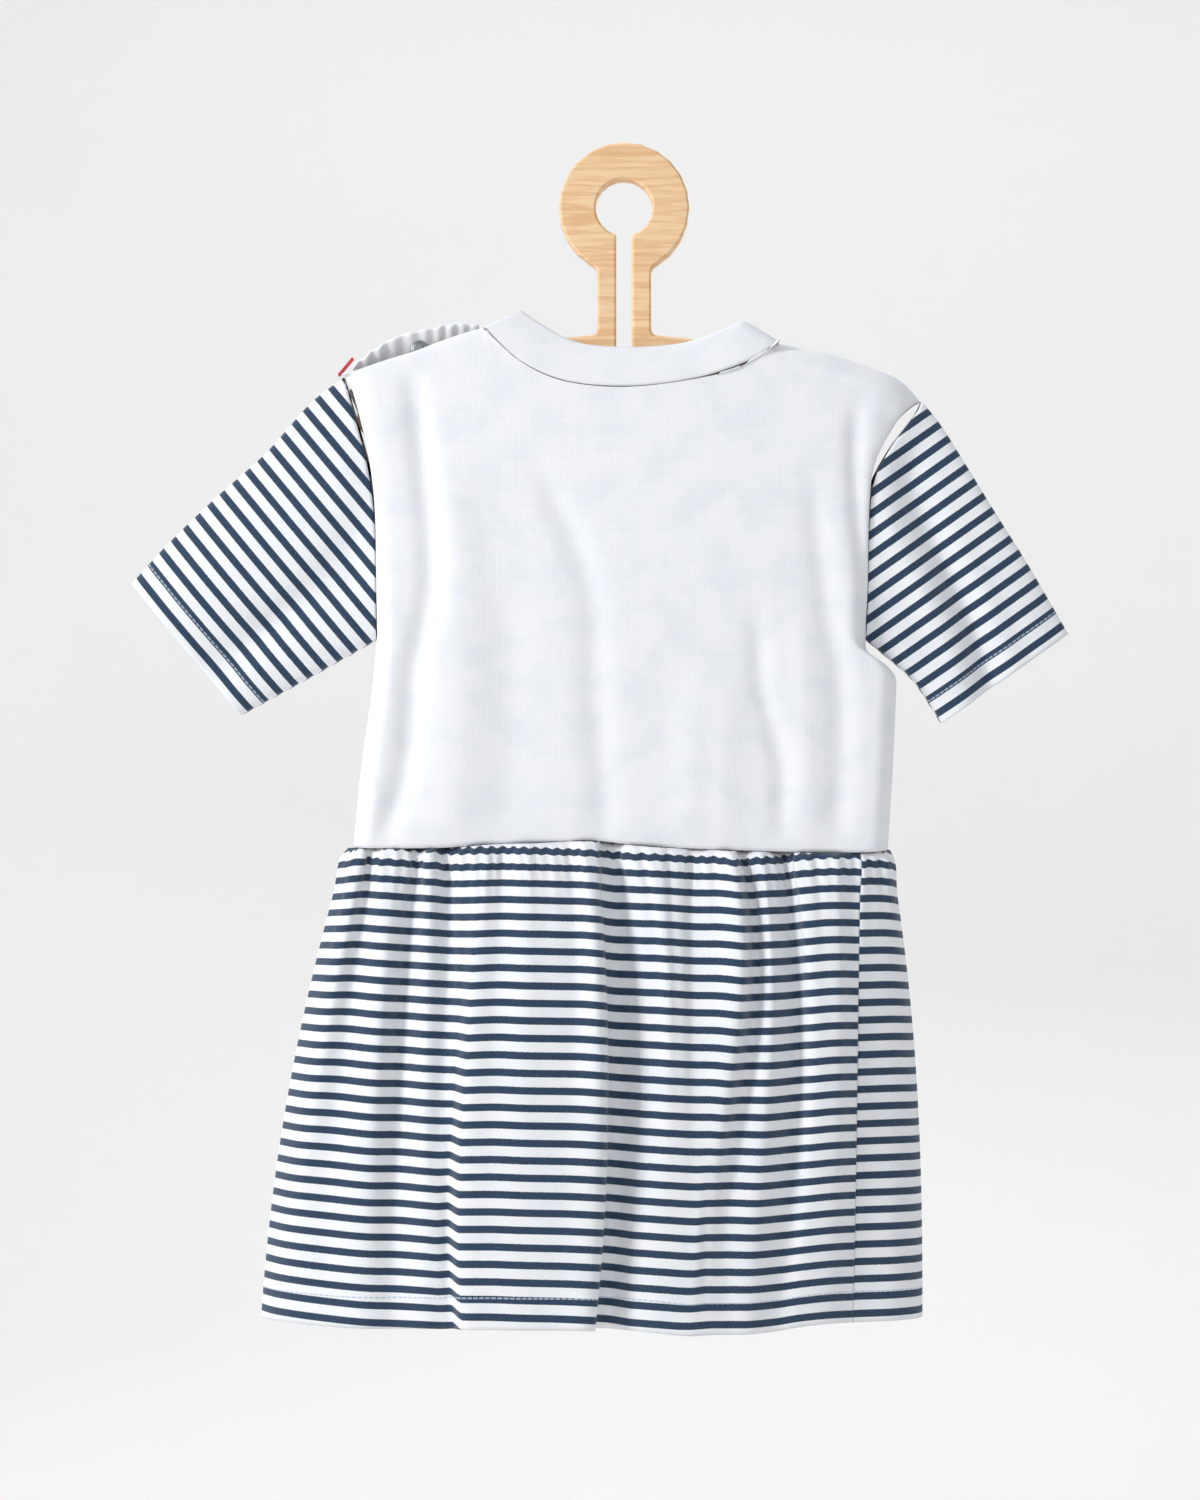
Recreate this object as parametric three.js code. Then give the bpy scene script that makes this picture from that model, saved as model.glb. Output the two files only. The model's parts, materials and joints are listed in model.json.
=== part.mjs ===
// A toddler's short-sleeved jersey dress with a gathered striped skirt, hung flat on a plywood hanger.
// Millimetres, +Z up. The origin is the top of the hole in the hanger's head, where a peg or a rod
// carries it, halfway through the wood. The dress's back faces -Y and its front faces +Y.
// Each cloth panel is a thin wall with a u that runs to the right as seen from outside it,
// and a v that runs up, so that its outward side is always the u direction crossed with the v direction.

import * as THREE from "three";
import { mergeVertices } from "three/addons/utils/BufferGeometryUtils.js";
import { RoundedBoxGeometry } from "three/addons/geometries/RoundedBoxGeometry.js";

// Cloth and seams.
const JERSEY = 1.2; // single jersey with its loft
const BAND = 1.8; // the neck band is jersey folded double
const BINDING = 1.4; // the gathered binding along the open shoulder
const SEAM = 0.3; // air left between two pieces that are sewn together
const ARMHOLE_GAP = 1.6;
const WAIST_GAP = 0.8; // at the gathers, whose edge runs in and out
const STEP = 1e-4; // the step used to measure a surface's direction

// Hanger.
const WOOD = 9;
const WOOD_EDGE = 1.2;
const HEAD_RADIUS = 34.5;
const HOLE_RADIUS = 15;
const SLOT_WIDTH = 8.2;
const SLOT_END = -100;
const POST_HALF = 14.3;
const POST_FILLET = 7;
const ARM_REACH = 141;
const ARM_TIP_Z = -126;
const ARM_TIP_RADIUS = 12;
const ARM_ROOT_Z = -82.7;
const ARM_UNDERSIDE_Z = -116;

// Depth of the bodice, measured from the middle of the wood to its outer faces.
const BACK_DEPTH = { waist: 15, chest: 17, shoulder: 12.5 };
const FRONT_DEPTH = { waist: 13, chest: 15, shoulder: 13.5 };
const SIDE_ROUND = 0.04; // part of the width that turns round to the side seam
const SIDE_U = 0.06; // part of u that this turn takes
const SHOULDER_ROUND = 10;
const SHOULDER_V = 0.08;
const PLACKET_BACK_Y = -11;
const PLACKET_FRONT_Y = -6.2;
const UNDERLAP_FOOT_Y = 1.5;
const UNDERARM_Z = -243.5;
const SHOULDER_TIP_Z = -104.4;

// Outlines of the bodice as rows of [place, value]: the side edges give x at a height,
// and the upper edges and the waist seam give z at an x.
const LEFT_EDGE = [
  [-355, -143.4], [-312, -139], [-275, -133.6], [-249, -131], [-222, -130.4],
  [-180, -131], [-153, -134.6], [-132, -140], [-104.4, -147.9],
];
const RIGHT_EDGE = [
  [-355, 139.5], [-310, 142.4], [-272, 144], [-266, 143.6], [-261, 139.5], [-256.5, 132.5], [-251, 128],
  [-222, 128], [-181, 128.6], [-159.5, 131.4], [-142, 140.5], [-123.5, 154.2], [-117.7, 157.4],
];
const WAIST_SEAM = [
  [-150, -353], [-95, -352.8], [-69, -350.6], [-47, -350], [-18, -349], [3, -351], [31, -353],
  [82, -354.8], [122, -355.2], [145, -354.2],
];
const LEFT_SHOULDER = [
  [-148, -105], [-134, -100], [-122, -96], [-111, -92.7], [-96, -87], [-80, -81.6], [-74, -80.3],
];
const BACK_NECK = [
  [-74, -80.3], [-68.6, -85.6], [-58, -95.2], [-46, -102.6], [-34, -107.4], [-18, -110.3], [0.5, -111.1],
  [19, -109.7], [40, -106.3], [58, -102], [69.4, -95.7], [77.4, -90.4], [81.6, -86.8],
];
const RIGHT_SHOULDER = [
  [81.6, -86.8], [88, -87.5], [110.6, -92.1], [128, -98], [144, -104.4], [150.5, -109.5], [157.4, -117.7],
];
const FRONT_NECK = [
  [-74, -88], [-66, -108], [-50, -126], [-25, -137], [0, -140.3], [25, -137], [50, -126],
  [70, -106], [81.6, -86.8],
];
const UNDERLAP_SEAM = [
  [-148, -111], [-134, -105.5], [-120, -99.5], [-102, -95], [-85, -91.5], [-74, -88],
];
const UNDERLAP_TOP = [
  [-144, -100.6], [-138.9, -96.2], [-121.4, -84.6], [-102.8, -79.6], [-85, -77], [-74, -78.4],
];

// The neck band's two edges, from its end on the left back, across the back, round the right
// side and across the front to its other end behind the first.
const BAND_LOWER = [
  [-73.5, -79.9, -12], [-58.3, -94.8, -12.6], [-34, -107, -12.8], [0.5, -110.7, -13], [40, -105.9, -12.8],
  [69.4, -95.2, -12.2], [79, -88, -9], [82, -85.6, 0], [79, -88, 9], [69, -106, 11.4],
  [49.6, -125.5, 12], [24.8, -136.5, 12.4], [0, -139.8, 12.6], [-24.8, -136.5, 12.4],
  [-49.6, -125.5, 12], [-65.3, -107.7, 11.4], [-72, -90, 7.5], [-72.5, -80, 1.5],
];
const BAND_UPPER = [
  [-54.1, -70.5, -8.6], [-44, -77.2, -8.8], [-26, -86.7, -8.9], [-0.8, -89.6, -8.9], [31.6, -87.3, -8.8],
  [52, -80.2, -8.7], [61, -76, -7.4], [64, -74.9, 0], [61, -78, 7.4], [54, -93, 9],
  [39, -107.5, 9.4], [20, -116.5, 9.6], [0, -119.3, 9.6], [-20, -116.5, 9.6],
  [-39, -107.5, 9.2], [-51, -93, 8.6], [-58, -78, 5.4], [-60.5, -70, 1],
];

// Sleeves: the upper and lower fold run from the armhole to the cuff. The swell is how far each
// layer stands out from the hanger's middle at the armhole and at the cuff.
const LEFT_SLEEVE = {
  side: -1,
  top: [[-148.6, -104.4], [-166, -118], [-190, -144.8], [-217, -169], [-243, -194.3], [-260.3, -213.4]],
  under: [[-131.4, -243.4], [-164.3, -262.1], [-202.2, -283]],
  near: { armhole: 11, cuff: 9 }, far: { armhole: 10, cuff: 8 },
};
const RIGHT_SLEEVE = {
  side: 1,
  top: [[157.9, -117.4], [166.5, -128], [175.6, -142], [195, -173.6], [213.3, -202.8], [235, -240]],
  under: [[131.4, -243], [141.2, -252.2], [154, -264.8], [163.2, -279.3], [168, -287.3]],
  near: { armhole: 11, cuff: 8 }, far: { armhole: 10, cuff: 10 },
};

// The skirt's ribs, anticlockwise from the left side seam: each runs from the waist down to the hem
// along the top of a fold or the bottom of a hollow. x and y at four levels, then the hem's height.
const SKIRT_LEVELS = [0, 0.25, 0.58, 1];
const SKIRT_RIBS = [
  // waist x, y    quarter x, y    middle x, y    hem x, y    hem z
  [-145.5, 0, -163, 0, -180, 0, -192, 0, -601], // left side seam
  [-143, -7, -159.5, -11, -176, -11, -187, -11, -600],
  [-137.5, -14, -149, -21, -164, -23, -173, -22, -599],
  [-133, -11, -139.5, -18, -149.5, -24, -152, -28, -599.5], // first hollow
  [-121, -16, -124.5, -26, -130, -31, -133, -32, -599.5],
  [-108, -10, -114, -18, -117.5, -24, -119, -30, -600], // second hollow
  [-101, -16, -102, -27, -103, -33, -102, -34, -599],
  [-95, -11, -91, -23, -94.5, -32, -93.5, -34, -599], // short crease
  [-84, -15, -84.5, -28, -89.5, -32.5, -88, -35, -598.5], // foot of the left step
  [-77.5, -18, -78, -35, -83, -41, -82.5, -43, -597], // edge of the left step
  [-65, -15, -66, -34, -68, -42, -67.5, -45, -596.5],
  [-48.5, -18, -47.5, -37, -49.5, -44, -54.5, -46, -596.5],
  [-31, -15, -26, -34, -29, -43, -35, -46, -596.5],
  [-18, -18, -14, -38, -13, -45, -20, -47, -596.5], // face of the middle pleat
  [-13.5, -15, -9.5, -34, -8.5, -41, -15.3, -43.5, -597.5], // its edge
  [-12, -11, -11.5, -27, -10.8, -33, -17, -35, -598.5], // tucked under it
  [-5, -9, -3.5, -21, -3, -27, -9.5, -29, -600], // hollow beside it
  [3, -16, 12, -28, 9.5, -33, 3, -35, -599.5],
  [16, -18, 22, -33, 22, -38, 14, -39, -599.5],
  [39.5, -13, 37.5, -28, 37.5, -36, 31, -40, -601],
  [55, -18, 60, -34, 49.5, -37, 45, -38, -601],
  [61.5, -10, 69, -24, 58.5, -31, 54, -36, -601.5], // third hollow
  [71, -16, 76, -29, 71.5, -34, 64, -35, -601.5],
  [83.5, -8, 89, -18, 88.5, -23, 78.5, -29, -601.5], // fourth hollow
  [91.5, -16, 96, -27, 96.5, -29, 89, -28, -600],
  [106.5, -17, 109, -27, 109, -28, 104.5, -25, -599],
  [123.5, -13, 122, -20, 121, -20, 119.5, -18, -600], // right side seam
  [134, -11, 140, -13, 143, -13, 144.5, -12, -600.5],
  [141, 0, 150, 0, 156.5, 1, 158.5, 2, -602], // right silhouette
  [136, 10, 143, 15, 148, 20, 151, 22, -601],
  [122, 15, 127, 27, 131, 33, 134, 34, -600],
  [104, 9, 108, 16, 110, 22, 112, 24, -600],
  [85, 15, 88, 28, 90, 34, 91, 35, -600],
  [61, 10, 62, 17, 62, 23, 63, 25, -600],
  [40, 15, 40, 29, 39, 35, 39, 36, -600],
  [16, 9, 15, 17, 13, 24, 12, 26, -600],
  [-8, 15, -10, 29, -12, 35, -13, 36, -600],
  [-31, 10, -34, 17, -36, 23, -38, 26, -600],
  [-55, 15, -59, 28, -62, 34, -64, 35, -600],
  [-78, 9, -84, 17, -88, 23, -91, 25, -600],
  [-101, 15, -110, 27, -117, 33, -122, 34, -600],
  [-122, 10, -134, 17, -144, 22, -151, 24, -600],
  [-138, 12, -153, 18, -168, 21, -178, 22, -600],
];
const RIGHT_SEAM_RIB = 26;

// A hermite curve through the rows of a table of [place, value, ...], read at one place.
function along(rows, place, column = 1) {
  const last = rows.length - 2;
  let i = rows.findIndex((row, k) => k < last && place < rows[k + 1][0]);
  if (i < 0) i = last;
  const slope = (k) => {
    const a = rows[Math.max(k - 1, 0)];
    const b = rows[Math.min(k + 1, rows.length - 1)];
    return (b[column] - a[column]) / (b[0] - a[0]);
  };
  const width = rows[i + 1][0] - rows[i][0];
  const s = (place - rows[i][0]) / width;
  const start = rows[i][column] * (1 + 2 * s) * (1 - s) ** 2 + slope(i) * width * s * (1 - s) ** 2;
  const end = rows[i + 1][column] * s * s * (3 - 2 * s) + slope(i + 1) * width * s * s * (s - 1);
  return start + end;
}

const mix = THREE.MathUtils.lerp;
const evenly = (count) => Array.from({ length: count + 1 }, (_, i) => i / count);

// A closed wall of cloth. at(u, v) gives its outer face, and the wall grows inwards from there.
// A level wall is thickened along the level only, so that its rims meet the next piece's squarely,
// and one with a facing stays on its own side of the seams, which lie on the middle plane.
function clothWall({ at, us, vs, thickness, ring = false, level = false, facing = 0 }) {
  const positions = [];
  const rows = vs.length;
  const columns = us.length;
  const normals = (u, v) => {
    const du = at(u + STEP, v).sub(at(u - STEP, v));
    const dv = at(u, v + STEP).sub(at(u, v - STEP));
    const out = level ? new THREE.Vector3(du.y, -du.x, 0) : du.cross(dv);
    return out.normalize();
  };
  for (const inward of [0, thickness]) {
    for (const u of us) {
      for (const v of vs) {
        const p = at(u, v).addScaledVector(normals(u, v), -inward);
        if (facing) p.y = facing * Math.max(facing * p.y, SEAM / 2);
        positions.push(p.x, p.y, p.z);
      }
    }
  }
  const id = (layer, i, j) => (layer * columns + (i % columns)) * rows + j;
  const index = [];
  const quad = (a, b, c, d) => index.push(a, b, c, a, c, d);
  const spans = ring ? columns : columns - 1;
  for (let i = 0; i < spans; i++) {
    for (let j = 0; j < rows - 1; j++) {
      quad(id(0, i, j), id(0, i + 1, j), id(0, i + 1, j + 1), id(0, i, j + 1));
      quad(id(1, i, j + 1), id(1, i + 1, j + 1), id(1, i + 1, j), id(1, i, j));
    }
    quad(id(1, i, 0), id(1, i + 1, 0), id(0, i + 1, 0), id(0, i, 0));
    quad(id(0, i, rows - 1), id(0, i + 1, rows - 1), id(1, i + 1, rows - 1), id(1, i, rows - 1));
  }
  if (!ring) {
    for (let j = 0; j < rows - 1; j++) {
      quad(id(0, 0, j), id(0, 0, j + 1), id(1, 0, j + 1), id(1, 0, j));
      quad(id(1, columns - 1, j), id(1, columns - 1, j + 1), id(0, columns - 1, j + 1), id(0, columns - 1, j));
    }
  }
  const geometry = new THREE.BufferGeometry();
  geometry.setAttribute("position", new THREE.Float32BufferAttribute(positions, 3));
  geometry.setIndex(index);
  geometry.computeVertexNormals();
  return geometry;
}

// How a bodice panel turns to its side edges: q is the part of the width, full is 0 at the
// edge and 1 where the panel lies flat.
function acrossPanel(u) {
  const fromEdge = Math.min(u, 1 - u);
  const turn = (fromEdge / SIDE_U) * (Math.PI / 2);
  const inner = SIDE_ROUND + ((fromEdge - SIDE_U) / (1 - 2 * SIDE_U)) * (1 - 2 * SIDE_ROUND);
  const q = fromEdge < SIDE_U ? SIDE_ROUND * (1 - Math.cos(turn)) : inner;
  return { q: u < 0.5 ? q : 1 - q, full: fromEdge < SIDE_U ? Math.sin(turn) : 1 };
}

function uOfPart(q) {
  const fromEdge = Math.min(q, 1 - q);
  const u = SIDE_U + ((fromEdge - SIDE_ROUND) / (1 - 2 * SIDE_ROUND)) * (1 - 2 * SIDE_U);
  return q < 0.5 ? u : 1 - u;
}

// How far the armhole's edge stands off the middle, from nothing at the underarm to nothing at the tip.
function armholeStand(z, depth) {
  const c = THREE.MathUtils.clamp((z - UNDERARM_Z) / (SHOULDER_TIP_Z - UNDERARM_Z), 0, 1);
  return depth * Math.sqrt(Math.sin(Math.PI * c));
}

const LEFT_TIP = LEFT_EDGE.at(-1)[1];
const RIGHT_TIP = RIGHT_EDGE.at(-1)[1];
const WAIST_Z = -353;

// One bodice panel: facing is -1 for the back and +1 for the front, topZ(x) its upper edge,
// topY(x) the depth of that edge, or null where the panel keeps its own depth.
function bodicePanel({ facing, depth, stand, topZ, topY, topEdges }) {
  const at = (u, v) => {
    const { q, full } = acrossPanel(u);
    const part = facing < 0 ? q : 1 - q;
    const xTop = mix(LEFT_TIP, RIGHT_TIP, part);
    const rounding = ((v - (1 - SHOULDER_V)) / SHOULDER_V) * (Math.PI / 2);
    const rounds = v > 1 - SHOULDER_V;
    const rise = rounds ? 1 : v / (1 - SHOULDER_V);
    const zStart = topZ(xTop) - SHOULDER_ROUND;
    const nominal = mix(WAIST_Z, SHOULDER_TIP_Z, v);
    const left = along(LEFT_EDGE, mix(WAIST_Z, LEFT_EDGE.at(-1)[0], v));
    const right = along(RIGHT_EDGE, mix(WAIST_Z, RIGHT_EDGE.at(-1)[0], v));
    const x = mix(left, right, part);
    const zWaist = along(WAIST_SEAM, x) + WAIST_GAP / 2;
    const z = mix(zWaist, zStart, rise) + (rounds ? SHOULDER_ROUND * Math.sin(rounding) : 0);
    const bulge = along(
      [[-353, depth.waist], [-220, depth.chest], [-110, depth.shoulder], [-80, depth.shoulder]], z);
    const edge = armholeStand(nominal, stand);
    const base = facing * (SEAM / 2 + edge + (bulge - edge) * full);
    const lip = topY(xTop);
    const y = rounds && lip !== null ? mix(lip, base, Math.cos(rounding)) : base;
    return new THREE.Vector3(x, y, z);
  };
  const edgeTurns = [0, 0.25, 0.5, 0.75, 1].map((k) => k * SIDE_U);
  const corners = topEdges.map((x) => uOfPart((x - LEFT_TIP) / (RIGHT_TIP - LEFT_TIP)));
  const middle = corners.map((u) => (facing < 0 ? u : 1 - u)).sort((a, b) => a - b);
  const us = [...edgeTurns, ...middle, ...edgeTurns.map((u) => 1 - u).reverse()];
  const vs = [0, 0.1, 0.2, 0.3, 0.36, 0.42, 0.48, 0.56, 0.64, 0.72, 0.8, 0.87, 0.92, 0.95, 0.975, 1];
  return clothWall({ at, us, vs, thickness: JERSEY, facing });
}

const NECK_COLUMNS = [-74.2, -68, -57, -44, -30, -15, 0, 15, 30, 44, 57, 68, 77, 81.2, 82];
const LEFT_COLUMNS = [-122, -108, -94, -82];
const RIGHT_COLUMNS = [95, 110, 126];
const LEFT_CORNER = -74;
const RIGHT_CORNER = 81.6;

const bodiceBack = bodicePanel({
  facing: -1, depth: BACK_DEPTH, stand: 11.5,
  topZ: (x) => {
    if (x < LEFT_CORNER) return along(LEFT_SHOULDER, x);
    return x < RIGHT_CORNER ? along(BACK_NECK, x) - SEAM : along(RIGHT_SHOULDER, x);
  },
  topY: (x) => {
    if (x < LEFT_CORNER) return PLACKET_BACK_Y;
    return x < RIGHT_CORNER ? null : -SEAM / 2;
  },
  topEdges: [...LEFT_COLUMNS, ...NECK_COLUMNS, ...RIGHT_COLUMNS],
});

const bodiceFront = bodicePanel({
  facing: 1, depth: FRONT_DEPTH, stand: 10.5,
  topZ: (x) => {
    if (x < LEFT_CORNER) return along(UNDERLAP_SEAM, x) - SEAM;
    return x < RIGHT_CORNER ? along(FRONT_NECK, x) - SEAM : along(RIGHT_SHOULDER, x);
  },
  topY: (x) => {
    if (x < LEFT_CORNER) return UNDERLAP_FOOT_Y;
    return x < RIGHT_CORNER ? null : SEAM / 2;
  },
  topEdges: [...LEFT_COLUMNS, ...NECK_COLUMNS, ...RIGHT_COLUMNS],
});

// The skirt: a closed curve through the ribs at each level, blended down the ribs.
const RIBS = SKIRT_RIBS.length;
const levelCurves = SKIRT_LEVELS.map((_, k) => {
  const points = SKIRT_RIBS.map((rib) => new THREE.Vector3(rib[2 * k], rib[2 * k + 1], rib[8]));
  return new THREE.CatmullRomCurve3(points, true, "centripetal");
});

function levelWeights(t) {
  return SKIRT_LEVELS.map((own, i) =>
    SKIRT_LEVELS.reduce((product, other, j) => (i === j ? product : (product * (t - other)) / (own - other)), 1));
}

function skirtPoint(rib, v) {
  const down = 1 - v;
  const weights = levelWeights(down);
  const turn = (rib / RIBS + 1) % 1;
  const points = levelCurves.map((curve) => curve.getPoint(turn));
  const x = points.reduce((sum, p, k) => sum + p.x * weights[k], 0);
  const y = points.reduce((sum, p, k) => sum + p.y * weights[k], 0);
  const waist = along(WAIST_SEAM, x) - WAIST_GAP / 2;
  return new THREE.Vector3(x, y, mix(waist, points[3].z, down));
}

// A skirt panel runs between two ribs, half a seam short of each, with two columns to a fold.
function skirtPanel(from, to) {
  const span = to - from;
  const at = (u, v) => {
    const near = skirtPoint(from + 0.01, v).distanceTo(skirtPoint(from, v)) / 0.01;
    const far = skirtPoint(to - 0.01, v).distanceTo(skirtPoint(to, v)) / 0.01;
    const start = from + SEAM / 2 / near;
    const end = to - SEAM / 2 / far;
    return skirtPoint(mix(start, end, u), v);
  };
  const vs = [0, 0.12, 0.25, 0.38, 0.5, 0.62, 0.74, 0.84, 0.93, 1];
  return clothWall({ at, us: evenly(2 * span), vs, thickness: JERSEY, level: true });
}

// A sleeve is one tube pressed flat: u goes round it from the underarm and back.
function sleeve({ side, top, under, near, far }) {
  const edge = side < 0 ? LEFT_EDGE : RIGHT_EDGE;
  const arm = (rows, t) => {
    const x = mix(rows[0][0], rows.at(-1)[0], t);
    const forward = side < 0 ? rows.map(([a, b]) => [-a, b]) : rows;
    return { x, z: along(forward, side * x) };
  };
  const at = (u, t) => {
    const turn = 2 * Math.PI * u;
    const c = (1 + Math.cos(turn)) / 2;
    const cuffTop = arm(top, t);
    const cuffUnder = arm(under, t);
    const zArm = mix(top[0][1], under[0][1], c);
    const xArm = along(edge, Math.min(zArm, edge.at(-1)[0])) + side * ARMHOLE_GAP;
    const bow = xArm - mix(top[0][0], under[0][0], c);
    const x = mix(cuffTop.x, cuffUnder.x, c) + bow * Math.max(1 - t, 0) ** 1.5;
    const z = mix(cuffTop.z, cuffUnder.z, c);
    const round = Math.sin(turn);
    const swell = side * round < 0 ? near : far;
    const reach = mix(swell.armhole, swell.cuff, t);
    const y = side * Math.sign(round) * reach * Math.sqrt(Math.abs(round));
    return new THREE.Vector3(x, y, z);
  };
  const turns = [0, 0.02, 0.06, 0.12, 0.18, 0.25, 0.32, 0.38, 0.44, 0.48];
  const us = [...turns, ...turns.map((u) => u + 0.5)];
  const vs = [0, 0.06, 0.15, 0.3, 0.45, 0.6, 0.75, 0.88, 1];
  return clothWall({ at, us, vs, thickness: JERSEY, ring: true });
}

// A strip of cloth between a lower and an upper edge, each a smooth curve through its own rows.
function strip(lower, upper, columns, thickness) {
  const curveOf = (rows) =>
    new THREE.CatmullRomCurve3(rows.map(([x, z, y]) => new THREE.Vector3(x, y, z)), false, "centripetal");
  const low = curveOf(lower);
  const high = curveOf(upper);
  const place = (curve, u) => {
    const inside = THREE.MathUtils.clamp(u, 0, 1);
    const p = curve.getPoint(inside);
    return u === inside ? p : p.addScaledVector(curve.getTangent(inside), (u - inside) * curve.getLength());
  };
  const at = (u, v) => place(low, u).lerp(place(high, u), v);
  return clothWall({ at, us: evenly(columns), vs: [0, 0.5, 1], thickness });
}

const neckBand = strip(BAND_LOWER, BAND_UPPER, 52, BAND);

const underlapRows = (rows, y) => evenly(8).map((k) => {
  const x = mix(-143.2, -76.5, k);
  return [x, along(rows, x) + (y > 0 ? SEAM : 0), y > 0 ? UNDERLAP_FOOT_Y : PLACKET_FRONT_Y];
});
const underlap = strip(underlapRows(UNDERLAP_SEAM, 1), underlapRows(UNDERLAP_TOP, -1), 18, BINDING);

// Hanger: a keyhole head on a post with two sloping arms, cut from one board.
function hangerGeometry() {
  const outline = new THREE.Shape();
  const edge = WOOD_EDGE;
  const head = HEAD_RADIUS - edge;
  const post = POST_HALF - edge;
  const headZ = -HOLE_RADIUS;
  const neckZ = headZ - Math.sqrt((head + POST_FILLET) ** 2 - (post + POST_FILLET) ** 2);
  const neckTurn = Math.atan2(headZ - neckZ, post + POST_FILLET);
  const tipX = ARM_REACH - ARM_TIP_RADIUS;
  outline.moveTo(0, ARM_UNDERSIDE_Z + edge);
  outline.quadraticCurveTo(tipX * 0.4, ARM_UNDERSIDE_Z, tipX, ARM_TIP_Z - ARM_TIP_RADIUS + edge);
  outline.absarc(tipX, ARM_TIP_Z, ARM_TIP_RADIUS - edge, -Math.PI / 2, Math.PI / 2 - 0.35, false);
  outline.bezierCurveTo(100, -101, 62, ARM_ROOT_Z - 4, post + 6, ARM_ROOT_Z - edge);
  outline.quadraticCurveTo(post, ARM_ROOT_Z - edge, post, ARM_ROOT_Z + 4);
  outline.lineTo(post, neckZ);
  outline.absarc(post + POST_FILLET, neckZ, POST_FILLET, Math.PI, Math.PI - neckTurn, true);
  outline.absarc(0, headZ, head, -neckTurn, Math.PI + neckTurn, false);
  outline.absarc(-post - POST_FILLET, neckZ, POST_FILLET, neckTurn, 0, true);
  outline.lineTo(-post, ARM_ROOT_Z + 4);
  outline.quadraticCurveTo(-post, ARM_ROOT_Z - edge, -post - 6, ARM_ROOT_Z - edge);
  outline.bezierCurveTo(-62, ARM_ROOT_Z - 4, -100, -101, -tipX - 4, ARM_TIP_Z + ARM_TIP_RADIUS - 1.8);
  outline.absarc(-tipX, ARM_TIP_Z, ARM_TIP_RADIUS - edge, Math.PI / 2 + 0.35, 1.5 * Math.PI, false);
  outline.quadraticCurveTo(-tipX * 0.4, ARM_UNDERSIDE_Z, 0, ARM_UNDERSIDE_Z + edge);
  const keyhole = new THREE.Path();
  const slot = SLOT_WIDTH / 2 + edge;
  const hole = HOLE_RADIUS + edge;
  const mouth = Math.asin(slot / hole);
  keyhole.absarc(0, headZ, hole, -Math.PI / 2 + mouth, 1.5 * Math.PI - mouth, false);
  keyhole.lineTo(-slot, SLOT_END + slot);
  keyhole.absarc(0, SLOT_END + slot, slot, Math.PI, 2 * Math.PI, false);
  outline.holes.push(keyhole);
  const geometry = new THREE.ExtrudeGeometry(outline, {
    depth: WOOD - 2 * edge, bevelThickness: edge, bevelSize: edge, bevelSegments: 1, curveSegments: 10,
  });
  geometry.translate(0, 0, edge - WOOD / 2);
  geometry.rotateX(Math.PI / 2);
  geometry.deleteAttribute("uv");
  geometry.deleteAttribute("normal");
  const merged = mergeVertices(geometry, 1e-3);
  merged.computeVertexNormals();
  return merged;
}

// Press stud: a low turned cap on the underlap, its axis along Y.
const STUD = { x: -108, z: -90, radius: 4.6, height: 2.2, y: -4 };
function studGeometry() {
  const { radius, height } = STUD;
  const profile = [[0, 0], [radius, 0], [radius, height * 0.4], [radius * 0.6, height * 0.65],
    [radius * 0.45, height], [0, height]];
  const geometry = new THREE.LatheGeometry(profile.map(([r, h]) => new THREE.Vector2(r, h)), 24);
  return mergeVertices(geometry.rotateX(Math.PI).deleteAttribute("uv").deleteAttribute("normal"), 1e-4);
}

// Tape end: a short folded tape that stands out of the seam at the left shoulder tip.
const TAPE = { length: 12, thickness: 1, width: 5, x: -147, z: -99.2, y: -3, slope: 50 };

const group = new THREE.Group();
function add(name, geometry, color, roughness = 0.9, metalness = 0) {
  const material = new THREE.MeshStandardMaterial({ color, roughness, metalness });
  const mesh = new THREE.Mesh(geometry, material);
  mesh.name = name;
  group.add(mesh);
  return mesh;
}

add("hanger", hangerGeometry(), 0xf1c59a, 0.55);
add("bodice_back", bodiceBack, 0xf3f5f7);
add("bodice_front", bodiceFront, 0xf3f5f7);
add("skirt_back", skirtPanel(0, RIGHT_SEAM_RIB), 0x8f9baa);
add("skirt_front", skirtPanel(RIGHT_SEAM_RIB, RIBS), 0x8f9baa);
add("sleeve_left", sleeve(LEFT_SLEEVE), 0x8f9baa);
add("sleeve_right", sleeve(RIGHT_SLEEVE), 0x8f9baa);
add("neck_band", neckBand, 0xf3f5f7);
add("shoulder_underlap", underlap, 0xf0f2f4);
const stud = add("press_stud", studGeometry(), 0xa4a7aa, 0.35, 0.9);
stud.position.set(STUD.x, STUD.y, STUD.z);
const tape = add("tape_end", new RoundedBoxGeometry(TAPE.length, TAPE.width, TAPE.thickness, 1, 0.3), 0xd8434d);
tape.position.set(TAPE.x, TAPE.y, TAPE.z);
tape.rotation.y = -THREE.MathUtils.degToRad(TAPE.slope);

export default group;
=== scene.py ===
# %% [markdown]
# # A striped jersey dress on a wooden hanger
# A toddler's dress hangs flat on a plywood hanger and shows its back. Each cloth panel is a grid of
# points worked out from a short table, turned into a thin shell. Metres, +Z up, -Y is the dress's back.
# The tables hold millimetres, and `MM` turns them into metres once the grid is made.

# %% Load the frame
import json
import math

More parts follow.
